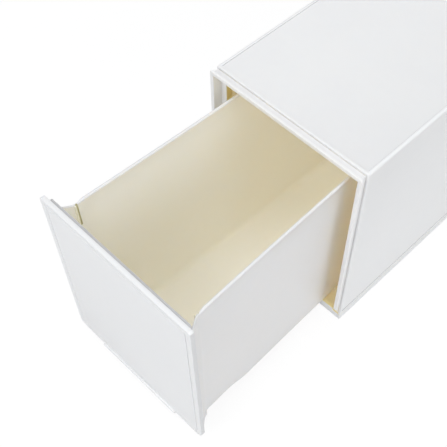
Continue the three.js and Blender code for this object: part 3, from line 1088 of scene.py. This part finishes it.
def skin_levels(extra, floor, radius, top):
    """Levels (inset, draft, z, bead) of one skin: round at the floor, then up the leaning wall."""
    levels = []
    for i in range(fillet_steps + 1):
        angle = math.pi / 2 * i / fillet_steps
        z = floor + radius * (1 - math.cos(angle))
        levels.append((extra + radius * (1 - math.sin(angle)), draft_at(z), z, 0.0))
    for share in wall_shares:
        z = floor + radius + (top - floor - radius) * share
        levels.append((extra, draft_at(z), z, 0.0))
    return levels


def rim_levels():
    """Levels over the rim: a half round, thickened by the bead on both sides."""
    levels = []
    half = tub_wall / 2
    crown = rim_height - half - rim_bead
    for i in range(rim_steps + 1):
        angle = math.pi * i / rim_steps
        side = math.cos(angle)
        z = crown + (half + rim_bead) * math.sin(angle)
        levels.append((half - half * side, 0.0, z, rim_bead * side))
    return levels


def tub_levels():
    """All levels up the outside, over the rim and down the inside, and where the inside starts."""
    bead_low = rim_height - bead_height
    outside = skin_levels(0.0, tub_low.z, tub_fillet - tub_floor, bead_low)
    inside = skin_levels(tub_wall, tub_low.z + tub_floor, tub_fillet, bead_low)
    neck = [(0.0, draft_at(bead_low), bead_low, neck_bead)]
    inner_neck = [(tub_wall, draft_at(bead_low), bead_low, -neck_bead)]
    levels = outside + neck + rim_levels() + inner_neck + inside[::-1]
    return levels, len(outside) + 1 + rim_steps


print("levels in the profile", len(tub_levels()[0]))

# %% [markdown]
# ## From outline and profile to a wall
#
# Each level draws the outline once, and neighbouring levels are joined by a ring of faces. This keeps
# the faces in even strips, so the wall shades smoothly. The raised floor and the lowered rim at the
# front are moves of the finished points, because they touch some heights and not others.

# %% Sweep the profile round the outline


def tub_point(x, y, z):
    """A point of the tub, with the raised floor and the lowered rim near the front."""
    height = (z - tub_low.z) / (rim_height - tub_low.z)
    lift = front_lift * fade_behind(y, lift_start, lift_run) * clamp(1 - height / lift_top)
    upper = clamp((height - drop_foot) / (1 - drop_foot))
    drop = rim_drop * fade_behind(y, drop_start, drop_run) * upper
    return (x, tub_low.y + y, z + lift - drop)


def swept_mesh(name, levels, first_inner):
    """A closed mesh through the levels, with the second material from level first_inner on."""
    shape = bmesh.new()
    rings = []
    for inset, draft, z, bead in levels:
        outline = tub_outline(inset, draft, bead)
        rings.append([shape.verts.new(tub_point(x, y, z)) for x, y in outline])
    count = len(rings[0])
    for level, (lower, upper) in enumerate(zip(rings, rings[1:])):
        for i in range(count):
            j = (i + 1) % count
            face = shape.faces.new((lower[i], lower[j], upper[j], upper[i]))
            face.material_index = int(level >= first_inner)
    for ring, material in ((rings[0], 0), (rings[-1], 1)):
        for i in range(count // 2 - 1):
            face = shape.faces.new((ring[i], ring[i + 1], ring[count - 2 - i], ring[count - 1 - i]))
            face.material_index = material
    bmesh.ops.recalc_face_normals(shape, faces=shape.faces)
    mesh = bpy.data.meshes.new(name)
    shape.to_mesh(mesh)
    shape.free()
    return mesh


tub_body = swept_mesh("drawer_tub_mesh", *tub_levels())
print("tub faces", len(tub_body.polygons))

# %% [markdown]
# ## Skirts of the tub
#
# Below the raised floor each front corner keeps a short skirt, and between the two there is room for
# fingers. A skirt is the tub's own outline, cut off behind the front and raised into a prism, so it
# follows the flare exactly where it joins the wall.

# %% Skirts
skirt_length = 12.0 * MM
finger_room = 45.0 * MM
skirt_overlap = 3.0 * MM
skirt_top = tub_low.z + front_lift + skirt_overlap


def skirt_edge(inset):
    """The tub's outline at the skirt's height, drawn in by inset, from the finger room back."""
    draft = draft_at(tub_low.z + front_lift)
    bend = [(x, y) for x, y in tub_outline(inset, draft, 0.0) if x > 0 and y < skirt_length]
    return [(finger_room, inset)] + bend + [(side_edge(skirt_length, inset, draft), skirt_length)]


def skirt_outline(side):
    """The plan outline of one skirt: along the front wall's face, round the flare and back inside."""
    points = skirt_edge(0.0) + skirt_edge(tub_wall)[::-1]
    return [(side * x, tub_low.y + y) for x, y in points]


skirts = [prism_mesh("skirt", skirt_outline(side), tub_low.z, skirt_top) for side in (-1, 1)]
print("skirt points", len(skirts[0].vertices))

# %% [markdown]
# ## Ribs, grooves and stops
#
# Inside each wall, where the flare starts, stands a small upright rib with a narrow groove behind it.
# Two low stops on the rim catch behind the frame at the end of the drawer's travel. Bevelled details
# would be lost at this size, so they are plain blocks in mirrored pairs.

# %% Ribs, grooves and stops
rib_offset = 9.2 * MM
rib_width = 1.1 * MM
rib_reach = 0.8 * MM
rib_sink = 1.2 * MM
rib_length = 21.0 * MM
rib_below_rim = 0.6 * MM
notch_width = 1.4 * MM
notch_sink = 0.7 * MM
notch_rise = 8.0 * MM
stop_length = 8.0 * MM
stop_sink = 0.8 * MM
stop_start = 317.3 * MM  # from the tub's front plane back to the stops

wall_face = side_edge(rib_offset, tub_wall, 0.0) - flare_out * flare_share(rib_offset)
rib_front = tub_low.y + rib_offset
rib_back = rib_front + rib_width
rib_top = rim_height - rim_drop - rib_below_rim
rib_foot = rib_top - rib_length
ribs = twin_blocks(
    "rib", (wall_face - rib_reach, rib_front, rib_foot), (wall_face + rib_sink, rib_back, rib_top),
)
notches = twin_blocks(
    "notch", (wall_face - tub_wall, rib_back, rib_foot),
    (wall_face + notch_sink, rib_back + notch_width, rib_top + notch_rise),
)
stop_side = side_edge(stop_start, 0.0, 0.0)
stop_front = tub_low.y + stop_start
stops = twin_blocks(
    "stop", (stop_side - tub_wall, stop_front, rim_height - stop_sink),
    (stop_side, stop_front + stop_length, tub_high.z),
)
print("ribs from height", round(rib_foot, 4), "to", round(rib_top, 4))
print("stops from", round(stop_front, 4), "to", round(stop_front + stop_length, 4))

# %% [markdown]
# ## One body
#
# The drawer box leaves the mould as one body, so its parts are joined by one union and the grooves
# cut by one difference. Separate overlapping meshes would show seams of light. Every mesh carries the
# same list of plastics first, because a boolean keeps each face's number in that list.

# %% Join them
tub_plastics = [tub_painted_shade_plastic, inner_painted_light_plastic, groove_painted_shade_plastic, rib_painted_highlight_plastic]
tub_shade_turn = 38  # degrees from which an edge of the tub stays sharp in the shading


def give_one_plastic(mesh, plastic):
    """Gives a mesh the tub's list of plastics, and all of its faces one of them."""
    place = tub_plastics.index(plastic)
    paint(mesh, tub_plastics, lambda centre, normal: place)


for plastic in tub_plastics:
    tub_body.materials.append(plastic)
for block in skirts + stops:
    give_one_plastic(block, tub_painted_shade_plastic)
# The ribs take a painted warm highlight.
for block in ribs:
    give_one_plastic(block, rib_painted_highlight_plastic)
# The grooves take painted shade.
for block in notches:
    give_one_plastic(block, groove_painted_shade_plastic)
tub_whole = combined(tub_body, "UNION", skirts + ribs + stops)
tub_whole = combined(tub_whole, "DIFFERENCE", notches)
smooth_by_angle(tub_whole, tub_shade_turn)
link_piece("drawer_box", tub_whole, "drawer", ["drawer_tub"])
print("tub faces with skirts and ribs", len(tub_whole.polygons))

# %% [markdown]
# ## The floor
#
# The case stands on a white sheet that fades into a white background. A plain white floor would show
# a grey horizon. So the camera sees a floor that glows almost to white and still takes a faint shadow,
# while the light that reaches the case comes from an ordinary white sheet. The floor lies just below
# the pads, so that no two faces share a plane.

# %% Floor
floor_size = 6.0
floor_drop = 0.3 * MM
half = floor_size / 2
floor_mesh = bpy.data.meshes.new("floor")
floor_mesh.from_pydata(
    [(x, y, -floor_drop) for x, y in ((-half, -half), (half, -half), (half, half), (-half, half))],
    [], [(0, 1, 2, 3)],
)
floor = bpy.data.objects.new("floor", floor_mesh)
bpy.context.scene.collection.objects.link(floor)


def seen_directly(tree):
    """1 where the camera, a reflection or a refraction looks, and 0 for other light."""
    path = tree.nodes.new("ShaderNodeLightPath").outputs
    seen = math_of(tree, "MAXIMUM", path["Is Camera Ray"], path["Is Glossy Ray"])
    return math_of(tree, "MAXIMUM", seen, path["Is Transmission Ray"])


floor_material = bpy.data.materials.new("white_sweep")
floor_material.use_nodes = True
floor_tree = floor_material.node_tree
floor_shader = floor_tree.nodes["Principled BSDF"]
floor_shader.inputs["Base Color"].default_value = (0.82, 0.82, 0.82, 1)
floor_shader.inputs["Roughness"].default_value = 0.9
floor_shader.inputs["Specular IOR Level"].default_value = 0.0
floor_pale = add_node(floor_tree, "ShaderNodeBsdfDiffuse", Color=(0.16, 0.16, 0.16, 1))
floor_glow = add_node(floor_tree, "ShaderNodeEmission", Strength=0.87)
floor_seen = floor_tree.nodes.new("ShaderNodeAddShader")
floor_tree.links.new(floor_pale.outputs["BSDF"], floor_seen.inputs[0])
floor_tree.links.new(floor_glow.outputs["Emission"], floor_seen.inputs[1])
floor_both = mixed_shaders(
    floor_tree, seen_directly(floor_tree), floor_shader.outputs["BSDF"], floor_seen.outputs["Shader"],
)
floor_tree.links.new(floor_both, floor_tree.nodes["Material Output"].inputs["Surface"])
floor_mesh.materials.append(floor_material)
print("floor", floor_size, "m wide, material", floor_material.name)

# %% [markdown]
# ## The world
#
# The world is an even, slightly cool sky that fills the shadows. Seen directly it is plain white, so
# the background stays clean however bright the sky is.

# %% World
sky_strength = 0.48
world = bpy.data.worlds.new("studio")
world.use_nodes = True
bpy.context.scene.world = world
world_tree = world.node_tree
sky = world_tree.nodes["Background"]
sky.inputs["Color"].default_value = (0.97, 0.985, 1.0, 1)
sky.inputs["Strength"].default_value = sky_strength
white = add_node(world_tree, "ShaderNodeBackground", Color=(1, 1, 1, 1), Strength=1.0)
world_both = mixed_shaders(
    world_tree, seen_directly(world_tree), sky.outputs["Background"], white.outputs["Background"],
)
world_tree.links.new(world_both, world_tree.nodes["World Output"].inputs["Surface"])
print("sky strength", sky_strength)

# %% [markdown]
# ## The lamps
#
# Three soft boxes of like power, overhead, right and front, give the quiet shading of a catalogue
# shot: no side falls dark and no shadow has an edge. One large lamp would be simpler, but it leaves
# one side of a box grey. Wide lamps blur the shadows in the mouth and along the rim.

# %% Lamps
lamp_target = Vector((0, -0.1, 0.09))


def soft_box(name, place, size, power):
    """A square area light that faces the case."""
    data = bpy.data.lights.new(name, "AREA")
    data.size = size
    data.energy = power
    lamp = bpy.data.objects.new(name, data)
    lamp.location = place
    lamp.rotation_euler = (lamp_target - Vector(place)).to_track_quat("-Z", "Y").to_euler()
    bpy.context.scene.collection.objects.link(lamp)


soft_box("overhead_softbox", (0.0, -0.45, 2.0), 0.9, 8.5)
soft_box("right_softbox", (1.8, -0.3, 0.9), 1.2, 8.7)
soft_box("front_softbox", (0.0, -1.4, 1.3), 1.0, 8.5)

# %% [markdown]
# ## Finish
#
# Light inside a pale drawer bounces many times before it fades. Cycles stops diffuse light after four
# bounces unless told otherwise, which leaves such a drawer far too dark, so more are allowed here. The
# Standard view keeps whites white.

# %% Finish
bpy.context.scene.view_settings.view_transform = "Standard"
diffuse_bounces = 48
other_bounces = 4
bpy.context.scene.cycles.diffuse_bounces = diffuse_bounces
bpy.context.scene.cycles.max_bounces = diffuse_bounces + other_bounces
